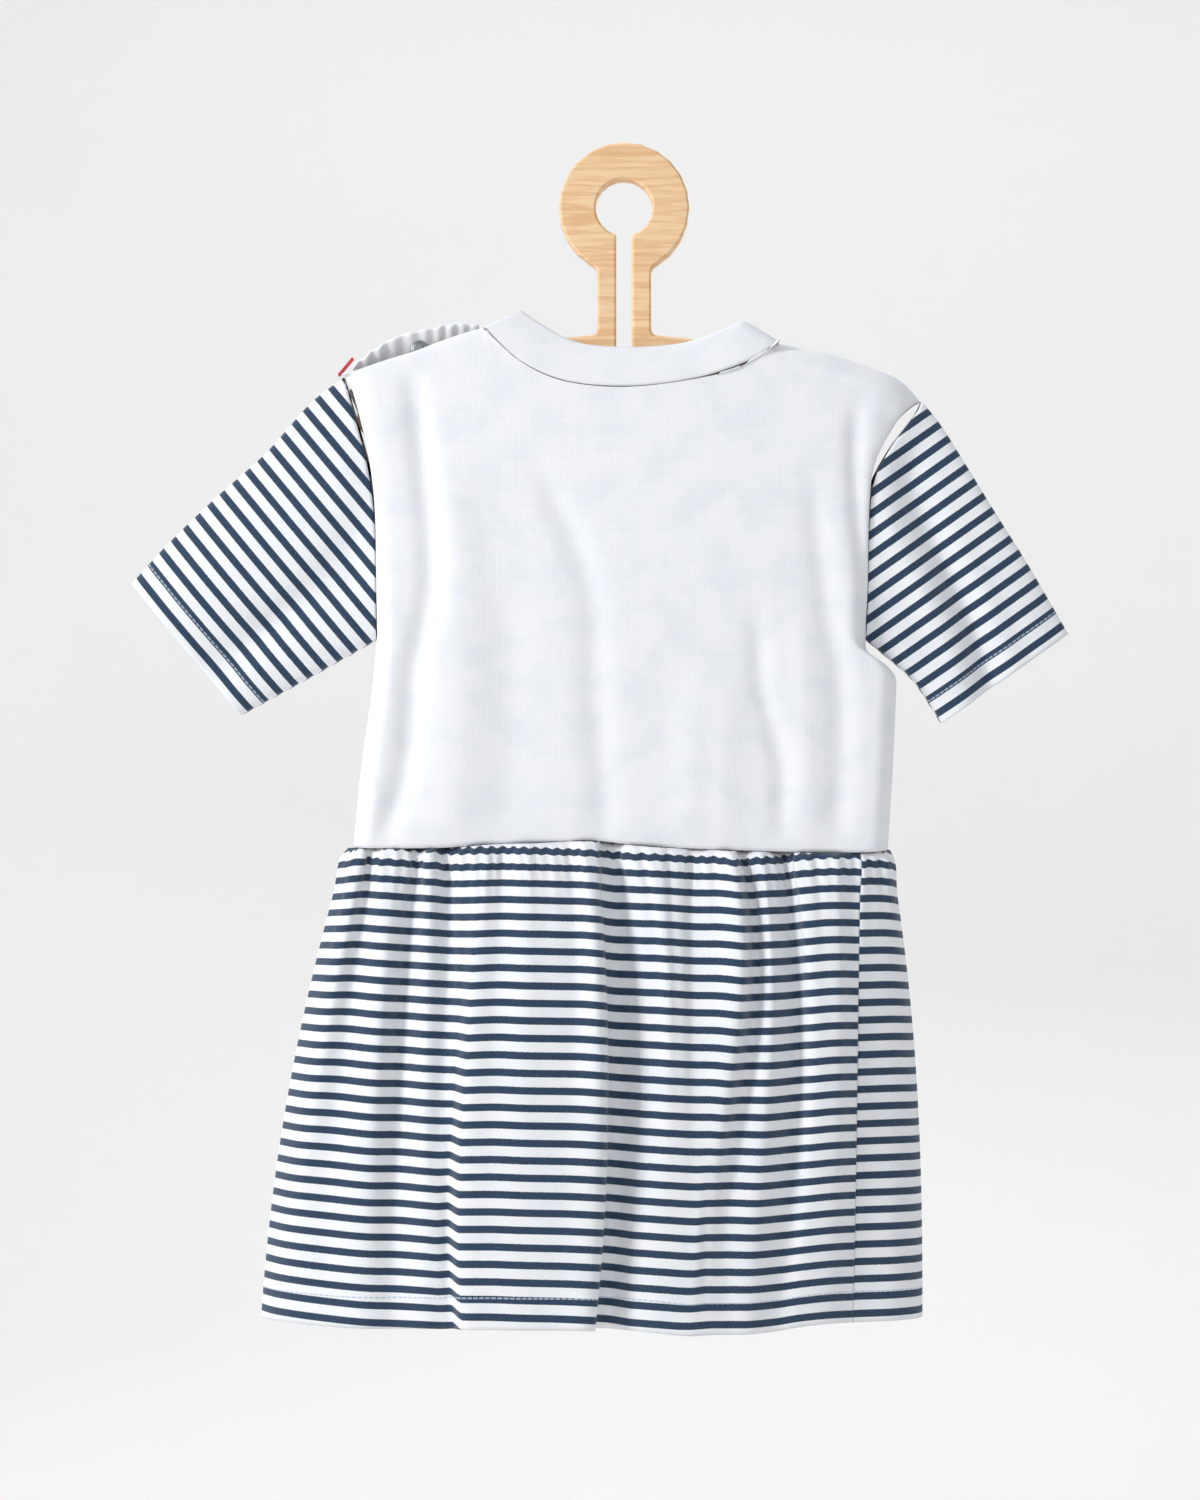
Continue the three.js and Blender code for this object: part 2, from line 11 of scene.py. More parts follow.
import bpy
import numpy as np
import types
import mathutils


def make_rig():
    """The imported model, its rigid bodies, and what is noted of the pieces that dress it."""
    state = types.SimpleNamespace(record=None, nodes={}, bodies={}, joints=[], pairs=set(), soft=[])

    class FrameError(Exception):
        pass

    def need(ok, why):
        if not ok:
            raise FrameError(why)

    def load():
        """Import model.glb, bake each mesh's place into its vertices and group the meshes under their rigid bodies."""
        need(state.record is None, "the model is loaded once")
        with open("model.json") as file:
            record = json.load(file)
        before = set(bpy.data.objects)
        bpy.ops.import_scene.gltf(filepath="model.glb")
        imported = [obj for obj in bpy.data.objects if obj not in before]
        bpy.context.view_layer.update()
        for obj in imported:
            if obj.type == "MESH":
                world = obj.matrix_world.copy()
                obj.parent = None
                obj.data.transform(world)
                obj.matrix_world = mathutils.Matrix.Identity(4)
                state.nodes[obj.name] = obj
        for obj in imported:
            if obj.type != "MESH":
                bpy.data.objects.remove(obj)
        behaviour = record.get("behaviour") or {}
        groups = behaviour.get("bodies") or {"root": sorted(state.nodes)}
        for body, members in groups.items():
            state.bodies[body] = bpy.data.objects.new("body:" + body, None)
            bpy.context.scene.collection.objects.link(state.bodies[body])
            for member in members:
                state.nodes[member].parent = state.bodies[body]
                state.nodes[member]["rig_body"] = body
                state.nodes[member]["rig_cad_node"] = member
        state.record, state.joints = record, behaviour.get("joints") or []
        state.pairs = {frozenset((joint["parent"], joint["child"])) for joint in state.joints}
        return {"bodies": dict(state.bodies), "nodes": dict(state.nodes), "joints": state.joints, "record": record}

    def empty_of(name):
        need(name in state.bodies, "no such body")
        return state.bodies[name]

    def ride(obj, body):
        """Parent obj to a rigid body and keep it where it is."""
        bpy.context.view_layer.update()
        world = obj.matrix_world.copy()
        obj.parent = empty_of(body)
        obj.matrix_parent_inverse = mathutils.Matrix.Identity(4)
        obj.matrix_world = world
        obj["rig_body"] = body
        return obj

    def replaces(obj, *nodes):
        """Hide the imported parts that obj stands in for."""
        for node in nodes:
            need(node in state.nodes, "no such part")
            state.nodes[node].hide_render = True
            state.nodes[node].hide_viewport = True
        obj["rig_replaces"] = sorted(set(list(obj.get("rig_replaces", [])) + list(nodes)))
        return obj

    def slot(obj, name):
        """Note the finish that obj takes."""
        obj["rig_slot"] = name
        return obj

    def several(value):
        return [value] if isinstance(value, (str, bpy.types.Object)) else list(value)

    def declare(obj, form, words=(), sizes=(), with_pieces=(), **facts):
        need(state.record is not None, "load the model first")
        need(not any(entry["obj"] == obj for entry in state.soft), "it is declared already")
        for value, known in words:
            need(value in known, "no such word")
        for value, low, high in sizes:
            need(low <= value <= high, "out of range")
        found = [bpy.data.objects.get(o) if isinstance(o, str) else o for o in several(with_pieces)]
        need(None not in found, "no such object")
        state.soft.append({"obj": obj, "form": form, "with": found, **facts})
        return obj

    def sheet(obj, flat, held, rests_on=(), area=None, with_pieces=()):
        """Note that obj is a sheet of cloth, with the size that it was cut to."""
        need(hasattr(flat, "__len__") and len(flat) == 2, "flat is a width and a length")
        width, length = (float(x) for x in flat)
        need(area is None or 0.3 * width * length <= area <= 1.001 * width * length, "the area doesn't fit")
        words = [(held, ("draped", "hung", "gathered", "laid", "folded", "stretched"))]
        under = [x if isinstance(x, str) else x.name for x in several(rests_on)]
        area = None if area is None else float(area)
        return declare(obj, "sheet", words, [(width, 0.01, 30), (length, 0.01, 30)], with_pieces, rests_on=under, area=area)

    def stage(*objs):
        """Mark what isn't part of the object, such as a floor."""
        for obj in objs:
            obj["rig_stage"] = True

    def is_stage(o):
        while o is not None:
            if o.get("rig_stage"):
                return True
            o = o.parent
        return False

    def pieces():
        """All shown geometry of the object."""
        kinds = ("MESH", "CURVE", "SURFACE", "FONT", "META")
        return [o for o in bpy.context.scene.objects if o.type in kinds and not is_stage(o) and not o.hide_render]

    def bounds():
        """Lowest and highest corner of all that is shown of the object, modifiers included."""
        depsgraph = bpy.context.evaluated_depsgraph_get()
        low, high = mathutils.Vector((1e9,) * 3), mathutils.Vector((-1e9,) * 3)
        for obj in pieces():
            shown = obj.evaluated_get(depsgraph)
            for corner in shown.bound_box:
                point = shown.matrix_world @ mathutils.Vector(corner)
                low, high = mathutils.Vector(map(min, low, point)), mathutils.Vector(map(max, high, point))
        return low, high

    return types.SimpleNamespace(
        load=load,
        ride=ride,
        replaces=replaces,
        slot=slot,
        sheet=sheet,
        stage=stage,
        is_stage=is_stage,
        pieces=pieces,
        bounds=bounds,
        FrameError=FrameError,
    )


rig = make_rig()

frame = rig.load()
cad_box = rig.bounds()
MM = 0.001
print("nodes:", sorted(frame["nodes"]))

# %% [markdown]
# ## Materials
# Colours are sRGB hex and are turned into linear values by one function. Cloth reads two UV maps,
# both in millimetres: `grain` follows the knit, so the stripes run in its second number, and `cut`
# is measured from the panel's sewn edge, so the hem stitches follow that edge.

# %% Node helpers
def linear(code):
    """Linear RGBA of an sRGB hex colour."""
    parts = [int(code[i:i + 2], 16) / 255 for i in (0, 2, 4)]
    return tuple(c / 12.92 if c <= 0.04045 else ((c + 0.055) / 1.055) ** 2.4 for c in parts) + (1.0,)


def new_material(name):
    """An empty node material with its Principled shader."""
    material = bpy.data.materials.new(name)
    material.use_nodes = True
    tree = material.node_tree
    return material, tree, tree.nodes["Principled BSDF"]


def node(tree, kind, settings=None, **inputs):
    """Adds a node: settings are its properties, and inputs are values or sockets by input name or index."""
    made = tree.nodes.new(kind)
    for key, value in (settings or {}).items():
        setattr(made, key, value)
    for key, value in inputs.items():
        socket = made.inputs[int(key[1:])] if key[0] == "i" and key[1:].isdigit() else made.inputs[key]
        if isinstance(value, bpy.types.NodeSocket):
            tree.links.new(value, socket)
        else:
            socket.default_value = value
    return made


def maths(tree, operation, a, b=0.0, c=0.0):
    """One math node's result."""
    return node(tree, "ShaderNodeMath", {"operation": operation}, i0=a, i1=b, i2=c).outputs[0]


def blend_colour(tree, factor, a, b):
    """A colour mix of a and b."""
    mixed = node(tree, "ShaderNodeMix", {"data_type": "RGBA"}, i0=factor, i6=a, i7=b)
    return mixed.outputs[2]


def ramp(tree, value, low, high):
    """0 below low and 1 above high, smooth between."""
    made = node(tree, "ShaderNodeMapRange", {"interpolation_type": "SMOOTHSTEP"}, Value=value)
    made.inputs["From Min"].default_value = low
    made.inputs["From Max"].default_value = high
    return made.outputs["Result"]


# %% [markdown]
# The knit is a fine field of wales and courses: two sine waves, one leaning left and one right in
# every other wale, read from the grain map. A slow noise makes the yarn uneven.

# %% Jersey
WALE = 0.75  # width of one knitted column
COURSE = 0.6
STRIPE_PITCH = 8.85
NAVY_SHARE = 0.43
WHITE = linear("F6F7F9")
NAVY = linear("1B3550")
STITCH = linear("B9C6D6")
STRIPE_BLUR = 0.02  # share of the pitch over which a stripe's edge fades
STITCH_PITCH = 2.9


def uv_numbers(tree, name):
    """The two numbers of a UV map, in millimetres."""
    uv = node(tree, "ShaderNodeUVMap", {"uv_map": name})
    split = node(tree, "ShaderNodeSeparateXYZ", Vector=uv.outputs[0])
    return uv.outputs[0], split.outputs[0], split.outputs[1]


def knit_height(tree, x, y):
    """Height of the knitted loops: |sin| of the wale, with courses that lean with it."""
    wale = maths(tree, "SINE", maths(tree, "MULTIPLY", x, 2 * math.pi / WALE))
    lean = maths(tree, "MULTIPLY", maths(tree, "ABSOLUTE", wale), 1.6)
    course = maths(tree, "SINE", maths(tree, "ADD", maths(tree, "MULTIPLY", y, 2 * math.pi / COURSE), lean))
    return maths(tree, "ADD", maths(tree, "MULTIPLY", wale, 0.5), maths(tree, "MULTIPLY", course, 0.5))


def jersey(name, striped, stitch_at=None):
    """Cotton jersey, plain white or striped, with a row of hem stitches at stitch_at millimetres."""
    material, tree, shader = new_material(name)
    grain, x, y = uv_numbers(tree, "grain")
    _, cut_x, cut_y = uv_numbers(tree, "cut")
    knit = knit_height(tree, x, y)
    yarn = node(tree, "ShaderNodeTexNoise", Vector=grain, Scale=1.6, Detail=3.0).outputs[0]
    cloud = node(tree, "ShaderNodeTexNoise", Vector=grain, Scale=0.05, Detail=2.0).outputs[0]
    colour = blend_colour(tree, ramp(tree, cloud, 0.35, 0.7), WHITE, linear("EFF2F6"))
    if striped:
        wobble = maths(tree, "MULTIPLY", maths(tree, "SUBTRACT", yarn, 0.5), 0.5)
        along_stripe = maths(tree, "DIVIDE", maths(tree, "ADD", y, wobble), STRIPE_PITCH)
        phase = maths(tree, "ABSOLUTE", maths(tree, "SUBTRACT", maths(tree, "FRACT",
                      maths(tree, "ADD", along_stripe, 100.5)), 0.5))
        edge = NAVY_SHARE / 2
        dark = maths(tree, "SUBTRACT", 1.0, ramp(tree, phase, edge - STRIPE_BLUR, edge + STRIPE_BLUR))
        navy = blend_colour(tree, ramp(tree, yarn, 0.52, 0.8), NAVY, linear("4A6786"))
        colour = blend_colour(tree, dark, colour, navy)
    if stitch_at is not None:
        off = maths(tree, "ABSOLUTE", maths(tree, "SUBTRACT", cut_y, stitch_at))
        line = maths(tree, "SUBTRACT", 1.0, ramp(tree, off, 0.25, 0.6))
        dash = ramp(tree, maths(tree, "FRACT", maths(tree, "DIVIDE", cut_x, STITCH_PITCH)), 0.18, 0.26)
        stitch = maths(tree, "MULTIPLY", line, dash)
        colour = blend_colour(tree, maths(tree, "MULTIPLY", stitch, 0.75), colour, STITCH)
        knit = maths(tree, "ADD", knit, maths(tree, "MULTIPLY", stitch, 1.6))
    # painted shade: the knit's low parts between the loops are darkened up to 12% towards grey-blue in the colour
    knit_colour_with_painted_shade = blend_colour(tree, maths(tree, "MULTIPLY", ramp(tree, knit, 0.1, -0.9), 0.12), colour,
                          linear("9AA4B2") if not striped else linear("5D6B7E"))
    tree.links.new(knit_colour_with_painted_shade, shader.inputs["Base Color"])
    shader.inputs["Roughness"].default_value = 0.9
    shader.inputs["Specular IOR Level"].default_value = 0.25
    shader.inputs["Sheen Weight"].default_value = 0.25
    shader.inputs["Sheen Roughness"].default_value = 0.6
    height = maths(tree, "ADD", knit, maths(tree, "MULTIPLY", yarn, 0.8))
    bump = node(tree, "ShaderNodeBump", Height=height, Strength=0.35, Distance=0.00025)
    tree.links.new(bump.outputs[0], shader.inputs["Normal"])
    return material


white_jersey = jersey("white_jersey", striped=False)
striped_skirt = jersey("striped_skirt_jersey", striped=True, stitch_at=16.0)
striped_sleeve = jersey("striped_sleeve_jersey", striped=True, stitch_at=13.5)
band_jersey = jersey("band_jersey", striped=False)
placket_jersey = jersey("placket_jersey", striped=False, stitch_at=3.5)
print("cloth materials:", len(bpy.data.materials))

# %% [markdown]
# Birch plywood has a pale face with long rings drawn across it. The rings are noise stretched along
# the grain, and the board's cut edge shows its plies as darker bands through the thickness.

# %% Wood, metal and tape
PLIES_A_METRE = 333.0
FACE_Y = 0.0038  # past this the board shows its face, not its cut edge


def plywood():
    """Pale birch with grain along X and plies through Y."""
    material, tree, shader = new_material("birch_plywood")
    place = node(tree, "ShaderNodeTexCoord").outputs["Object"]
    stretched = node(tree, "ShaderNodeMapping", Vector=place, Scale=(9.0, 40.0, 130.0)).outputs[0]
    grain = node(tree, "ShaderNodeTexNoise", Vector=stretched, Scale=3.0, Detail=6.0,
                 Distortion=0.6).outputs[0]
    fine_place = node(tree, "ShaderNodeMapping", Vector=place, Scale=(60.0, 300.0, 1400.0)).outputs[0]
    fine = node(tree, "ShaderNodeTexNoise", Vector=fine_place, Scale=1.0, Detail=3.0).outputs[0]
    face = blend_colour(tree, ramp(tree, grain, 0.38, 0.66), linear("F2CFA4"), linear("E3B685"))
    streak = maths(tree, "MULTIPLY", ramp(tree, fine, 0.55, 0.75), 0.35)
    face = blend_colour(tree, streak, face, linear("CF9C6A"))
    split = node(tree, "ShaderNodeSeparateXYZ", Vector=place)
    ply = maths(tree, "FRACT", maths(tree, "ADD", maths(tree, "MULTIPLY", split.outputs[1], PLIES_A_METRE), 0.5))
    on_edge = maths(tree, "LESS_THAN", maths(tree, "ABSOLUTE", split.outputs[1]), FACE_Y)
    band = maths(tree, "MULTIPLY", ramp(tree, ply, 0.62, 0.7), on_edge)
    face = blend_colour(tree, maths(tree, "MULTIPLY", band, 0.5), face, linear("B98252"))
    tree.links.new(face, shader.inputs["Base Color"])
    shader.inputs["Roughness"].default_value = 0.5
    bump = node(tree, "ShaderNodeBump", Height=fine, Strength=0.25, Distance=0.0002)
    tree.links.new(bump.outputs[0], shader.inputs["Normal"])
    return material


def plain_finish(name, code, roughness, metallic, scale):
    """A plain colour broken up by fine noise, for the stud and the tape."""
    material, tree, shader = new_material(name)
    place = node(tree, "ShaderNodeTexCoord").outputs["Object"]
    noise = node(tree, "ShaderNodeTexNoise", Vector=place, Scale=scale, Detail=3.0).outputs[0]
    base = linear(code)
    deeper = tuple(c * 0.75 for c in base[:3]) + (1.0,)
    mottled = blend_colour(tree, ramp(tree, noise, 0.4, 0.7), base, deeper)
    tree.links.new(mottled, shader.inputs["Base Color"])
    shader.inputs["Roughness"].default_value = roughness
    shader.inputs["Metallic"].default_value = metallic
    bump = node(tree, "ShaderNodeBump", Height=noise, Strength=0.3, Distance=0.0002)
    tree.links.new(bump.outputs[0], shader.inputs["Normal"])
    return material


birch = plywood()
stud_metal = plain_finish("stud_metal", "9DA1A6", 0.35, 0.9, 900.0)
red_tape = plain_finish("red_tape", "E0505A", 0.85, 0.0, 1500.0)

# %% [markdown]
# ## Shapes from tables
# `along` is a hermite curve through a table's rows, and `centripetal` is a Catmull-Rom curve through
# points, open or closed. Both take whole arrays.

# %% Curve helpers
def along(rows, place, column=1):
    """Hermite curve through rows of (place, value, ...), read at an array of places."""
    table = np.array([row[: column + 1] for row in rows], float)
    xs, ys = table[:, 0], table[:, column]
    slope = np.gradient(ys, xs) if len(xs) < 3 else np.empty(len(xs))
    if len(xs) >= 3:
        slope[1:-1] = (ys[2:] - ys[:-2]) / (xs[2:] - xs[:-2])
        slope[0] = (ys[1] - ys[0]) / (xs[1] - xs[0])
        slope[-1] = (ys[-1] - ys[-2]) / (xs[-1] - xs[-2])
    place = np.asarray(place, float)
    i = np.clip(np.searchsorted(xs, place, side="right") - 1, 0, len(xs) - 2)
    width = xs[i + 1] - xs[i]
    s = (place - xs[i]) / width
    start = ys[i] * (1 + 2 * s) * (1 - s) ** 2 + slope[i] * width * s * (1 - s) ** 2
    return start + ys[i + 1] * s * s * (3 - 2 * s) + slope[i + 1] * width * s * s * (s - 1)


def centripetal(points, turns, closed):
    """Centripetal Catmull-Rom curve through points, read at turns counted in points."""
    points = np.asarray(points, float)
    count = len(points)
    turns = np.asarray(turns, float)
    if closed:
        turns = turns % count
        i = np.floor(turns).astype(int) % count
        rows = [points[(i + k) % count] for k in (-1, 0, 1, 2)]
    else:
        i = np.clip(np.floor(turns).astype(int), 0, count - 2)
        padded = np.vstack([2 * points[0] - points[1], points, 2 * points[-1] - points[-2]])
        rows = [padded[i + k] for k in (0, 1, 2, 3)]
    s = (turns - i)[:, None]
    p0, p1, p2, p3 = rows
    d01, d12, d23 = (np.sqrt(np.linalg.norm(b - a, axis=1))[:, None]
                     for a, b in ((p0, p1), (p1, p2), (p2, p3)))
    t1 = ((p1 - p0) / d01 - (p2 - p0) / (d01 + d12) + (p2 - p1) / d12) * d12
    t2 = ((p2 - p1) / d12 - (p3 - p1) / (d12 + d23) + (p3 - p2) / d23) * d12
    c2 = -3 * p1 + 3 * p2 - 2 * t1 - t2
    c3 = 2 * p1 - 2 * p2 + t1 + t2
    return p1 + t1 * s + c2 * s ** 2 + c3 * s ** 3


def mix(a, b, t):
    """a at t 0 and b at t 1."""
    return a + (b - a) * t


def rise(value, low, high):
    """0 below low and 1 above high, smooth between."""
    t = np.clip((value - low) / (high - low), 0, 1)
    return t * t * (3 - 2 * t)


def distances(grid, axis):
    """Cloth length from the grid's first row or column to each point."""
    steps = np.linalg.norm(np.diff(grid, axis=axis), axis=2)
    sums = np.cumsum(steps, axis=axis)
    pad = [(0, 0), (0, 0)]
    pad[axis] = (1, 0)
    return np.pad(sums, pad)


# %% [markdown]
# A cloth piece is one grid of points with two UV maps. Solidify gives it its thickness inwards, so
# the outer face stays where the table puts it.

# %% Grid to cloth
def cloth(name, grid, grain, cut, material, thickness, ring=False, replaces=(), slot="white_jersey"):
    """A thin shell through grid, an array of columns, rows and x, y, z in millimetres."""
    columns, rows = grid.shape[:2]
    spans = columns if ring else columns - 1
    i, j = np.meshgrid(np.arange(spans), np.arange(rows - 1), indexing="ij")
    a = i * rows + j
    b = ((i + 1) % columns) * rows + j
    faces = np.stack([a, b, b + 1, a + 1], axis=2).reshape(-1, 4)
    mesh = bpy.data.meshes.new(name)
    mesh.from_pydata((grid * MM).reshape(-1, 3), [], faces.tolist())
    loops = faces.reshape(-1)
    for label, values in (("grain", grain), ("cut", cut)):
        layer = mesh.uv_layers.new(name=label)
        uv = values.reshape(-1, 2)[loops].copy()
        if ring:
            last_span = np.repeat((i == columns - 1).reshape(-1), 4)
            wraps = last_span & np.tile([False, True, True, False], len(faces))
            row = (loops % rows)[wraps]
            uv[wraps, 0] = values[-1, row, 0] + (values[1, row, 0] - values[0, row, 0])
        layer.data.foreach_set("uv", uv.astype(np.float32).ravel())
    mesh.polygons.foreach_set("use_smooth", np.ones(len(faces), bool))
    mesh.materials.append(material)
    piece = bpy.data.objects.new(name, mesh)
    bpy.context.scene.collection.objects.link(piece)
    wall = piece.modifiers.new("wall", "SOLIDIFY")
    wall.thickness = thickness * MM
    wall.offset = -1.0
    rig.ride(piece, "root")
    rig.replaces(piece, *replaces)
    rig.slot(piece, slot)
    print(name, "faces:", len(faces))
    return piece


# %% [markdown]
# ## The skirt
# The skirt hangs in ribs: each row of the table runs from the waist down to the hem along the top of
# a fold or the bottom of a hollow. `shift` is how far the stripes ride up the cloth, at the waist and
# at the hem, because the panels are cut a little off the grain.

# %% Skirt tables
WAIST_SEAM = [
    (-150, -353), (-95, -352.8), (-69, -350.6), (-47, -350), (-18, -349), (3, -351), (31, -353),
    (82, -354.8), (122, -355.2), (145, -354.2),
]
SKIRT_LEVELS = (0, 0.25, 0.58, 1)
SKIRT_RIBS = [
    # waist x, y | quarter x, y | middle x, y | hem x, y | hem z | stripe shift at waist, hem
    (-145.5, 0, -163, 0, -180, 0, -192, 0, -601, 4, 5.4),
    (-143, -7, -159.5, -11, -176, -11, -187, -11, -600, 3.6, 5.2),
    (-137.5, -14, -149, -21, -164, -23, -173, -22, -599, 3, 4.8),
    (-133, -11, -139.5, -18, -149.5, -24, -152, -28, -599.5, 2.5, 4.2),
    (-121, -16, -124.5, -26, -130, -31, -133, -32, -599.5, 1.4, 3.4),
    (-108, -10, -114, -18, -117.5, -24, -119, -30, -600, 0.4, 2.8),
    (-101, -16, -102, -27, -103, -33, -102, -34, -599, -0.6, 2.2),
    (-95, -11, -91, -23, -94.5, -32, -93.5, -34, -599, -1.4, 1.9),
    (-84, -15, -84.5, -28, -89.5, -32.5, -88, -35, -598.5, -1.8, 1.6),
    (-77.5, -18, -78, -35, -83, -41, -82.5, -43, -597, -2, -2.2),
    (-65, -15, -66, -34, -68, -42, -67.5, -45, -596.5, -2, -2.4),
    (-48.5, -18, -47.5, -37, -49.5, -44, -54.5, -46, -596.5, -2.2, -2.6),
    (-31, -15, -26, -34, -29, -43, -35, -46, -596.5, -2.6, -3),
    (-18, -18, -14, -38, -13, -45, -20, -47, -596.5, -3, -3.4),
    (-13.5, -15, -9.5, -34, -8.5, -41, -15.3, -43.5, -597.5, -3, -3.5),
    (-12, -11, -11.5, -27, -10.8, -33, -17, -35, -598.5, -3, -3.6),
    (-5, -9, -3.5, -21, -3, -27, -9.5, -29, -600, -3.2, -4),
    (3, -16, 12, -28, 9.5, -33, 3, -35, -599.5, -3.4, -4.8),
    (16, -18, 22, -33, 22, -38, 14, -39, -599.5, -3.4, -4.6),
    (39.5, -13, 37.5, -28, 37.5, -36, 31, -40, -601, -3.4, -3.8),
    (55, -18, 60, -34, 49.5, -37, 45, -38, -601, -3.4, -3.6),
    (61.5, -10, 69, -24, 58.5, -31, 54, -36, -601.5, -3.4, -3.6),
    (71, -16, 76, -29, 71.5, -34, 64, -35, -601.5, -3.6, -3.8),
    (83.5, -8, 89, -18, 88.5, -23, 78.5, -29, -601.5, -3.6, -4),
    (91.5, -16, 96, -27, 96.5, -29, 89, -28, -600, -3.8, -4),
    (106.5, -17, 109, -27, 109, -28, 104.5, -25, -599, -4, -4.2),
    (123.5, -13, 122, -20, 121, -20, 119.5, -18, -600, -4, -4.4),
    (134, -11, 140, -13, 143, -13, 144.5, -12, -600.5, -4, -4.4),
    (141, 0, 150, 0, 156.5, 1, 158.5, 2, -602, -4, -4.4),
    (136, 10, 143, 15, 148, 20, 151, 22, -601, -4, -4.4),
    (122, 15, 127, 27, 131, 33, 134, 34, -600, -4, -4.4),
    (104, 9, 108, 16, 110, 22, 112, 24, -600, -4, -4),
    (85, 15, 88, 28, 90, 34, 91, 35, -600, -4, -4),
    (61, 10, 62, 17, 62, 23, 63, 25, -600, -3, -3),
    (40, 15, 40, 29, 39, 35, 39, 36, -600, -3, -3),
    (16, 9, 15, 17, 13, 24, 12, 26, -600, -2, -2),
    (-8, 15, -10, 29, -12, 35, -13, 36, -600, -1, -1),
    (-31, 10, -34, 17, -36, 23, -38, 26, -600, 0, 0),
    (-55, 15, -59, 28, -62, 34, -64, 35, -600, 1, 1),
    (-78, 9, -84, 17, -88, 23, -91, 25, -600, 2, 2),
    (-101, 15, -110, 27, -117, 33, -122, 34, -600, 3, 3.5),
    (-122, 10, -134, 17, -144, 22, -151, 24, -600, 3.5, 4.5),
    (-138, 12, -153, 18, -168, 21, -178, 22, -600, 4, 5),
]
RIGHT_SEAM_RIB = 26
STEPS_A_RIB = 12
SKIRT_ROWS = 110
SEAM_SLIT = 0.006  # share of a rib left open at each side seam
TIGHT_GATHER, LOOSE_GATHER = 6.3, 15.5  # lengths of the two gather waves
SEAM_OFFSET = 4.4  # how far the stripes miss each other across the right side seam at the waist


# %% Skirt shapes
def skirt_grid(first, last):
    """Grid of the skirt from one rib to another: blended ribs, then the gathers under the waist."""
    ribs = np.array(SKIRT_RIBS, float)
    turns = np.linspace(first + SEAM_SLIT, last - SEAM_SLIT, int((last - first) * STEPS_A_RIB) + 1)
    down = 1 - np.linspace(0, 1, SKIRT_ROWS)
    levels = [centripetal(np.column_stack([ribs[:, 2 * k], ribs[:, 2 * k + 1], ribs[:, 8]]), turns, True)
              for k in range(4)]
    weights = [np.prod([(down - b) / (a - b) for b in SKIRT_LEVELS if b != a], axis=0) for a in SKIRT_LEVELS]
    x = sum(level[:, :1] * weight for level, weight in zip(levels, weights))
    y = sum(level[:, 1:2] * weight for level, weight in zip(levels, weights))
    z = mix(along(WAIST_SEAM, x) - 0.2, levels[3][:, 2:3], down[None, :])
    base = np.stack([x, y, z], axis=2)
    length = distances(base[:, -1:, :], 0)
    below = along(WAIST_SEAM, x) - z
    tight = np.sin(2 * np.pi * length / TIGHT_GATHER + 2.2 * np.sin(length / 19)) * np.exp(-below / 16)
    loose = np.sin(2 * np.pi * length / LOOSE_GATHER + 1.7 * np.sin(length / 31) + 1) * np.exp(-below / 60)
    puff = -1.5 * np.exp(-((below - 9) / 9) ** 2)
    across = np.gradient(base, axis=0)
    out = np.stack([across[..., 1], -across[..., 0], np.zeros_like(x)], axis=2)
    out /= np.linalg.norm(out, axis=2, keepdims=True) + 1e-9
    push = (0.9 * tight + 1.1 * loose - puff) * rise(below, -1, 5)
    grid = base + out * push[..., None]
    shift = np.interp(turns, np.arange(len(ribs) + 1), np.append(ribs[:, 9], ribs[0, 9]))[:, None]
    shift_hem = np.interp(turns, np.arange(len(ribs) + 1), np.append(ribs[:, 10], ribs[0, 10]))[:, None]
    up = distances(base, 1)
    off = mix(shift, shift_hem, down[None, :]) - 0.9 * tight * np.exp(-below / 10)
    around = np.broadcast_to(distances(base, 0)[:, :1], x.shape)
    if first == RIGHT_SEAM_RIB:
        off = off + SEAM_OFFSET * (1 - down[None, :])
    return grid, np.stack([around, up - off], axis=2), np.stack([around, up], axis=2)


skirt = {}
for name, first, last in (("skirt_back", 0, RIGHT_SEAM_RIB),
                          ("skirt_front", RIGHT_SEAM_RIB, len(SKIRT_RIBS))):
    grid, grain, cut = skirt_grid(first, last)
    skirt[name] = cloth(name + "_cloth", grid, grain, cut, striped_skirt, 1.0, replaces=(name,),
                        slot="striped_jersey")
    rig.sheet(skirt[name], flat=(0.40, 0.27), held="gathered", rests_on=["hanger"])

# %% [markdown]
# ## The bodice
# Two panels with a rounded turn at each side. Their edges, neck and shoulder lines come from the same
# tables as the solids. Soft folds are troughs along short paths: each has a depth, a width and the
# heights where it starts and ends.

# %% Bodice tables
LEFT_EDGE = [
    (-355, -143.4), (-312, -139), (-275, -133.6), (-249, -131), (-222, -130.4),
    (-180, -131), (-153, -134.6), (-132, -140), (-104.4, -147.9),
]
RIGHT_EDGE = [
    (-355, 139.5), (-310, 142.4), (-272, 144), (-266, 143.6), (-261, 139.5), (-256.5, 132.5), (-251, 128),
    (-222, 128), (-181, 128.6), (-159.5, 131.4), (-142, 140.5), (-123.5, 154.2), (-117.7, 157.4),
]
LEFT_SHOULDER = [
    (-148, -105), (-134, -100), (-122, -96), (-111, -92.7), (-96, -87), (-80, -81.6), (-74, -80.3),
]
BACK_NECK = [
    (-74, -80.3), (-68.6, -85.6), (-58, -95.2), (-46, -102.6), (-34, -107.4), (-18, -110.3), (0.5, -111.1),
    (19, -109.7), (40, -106.3), (58, -102), (69.4, -95.7), (77.4, -90.4), (81.6, -86.8),
]
RIGHT_SHOULDER = [
    (81.6, -86.8), (88, -87.5), (110.6, -92.1), (128, -98), (144, -104.4), (150.5, -109.5), (157.4, -117.7),
]
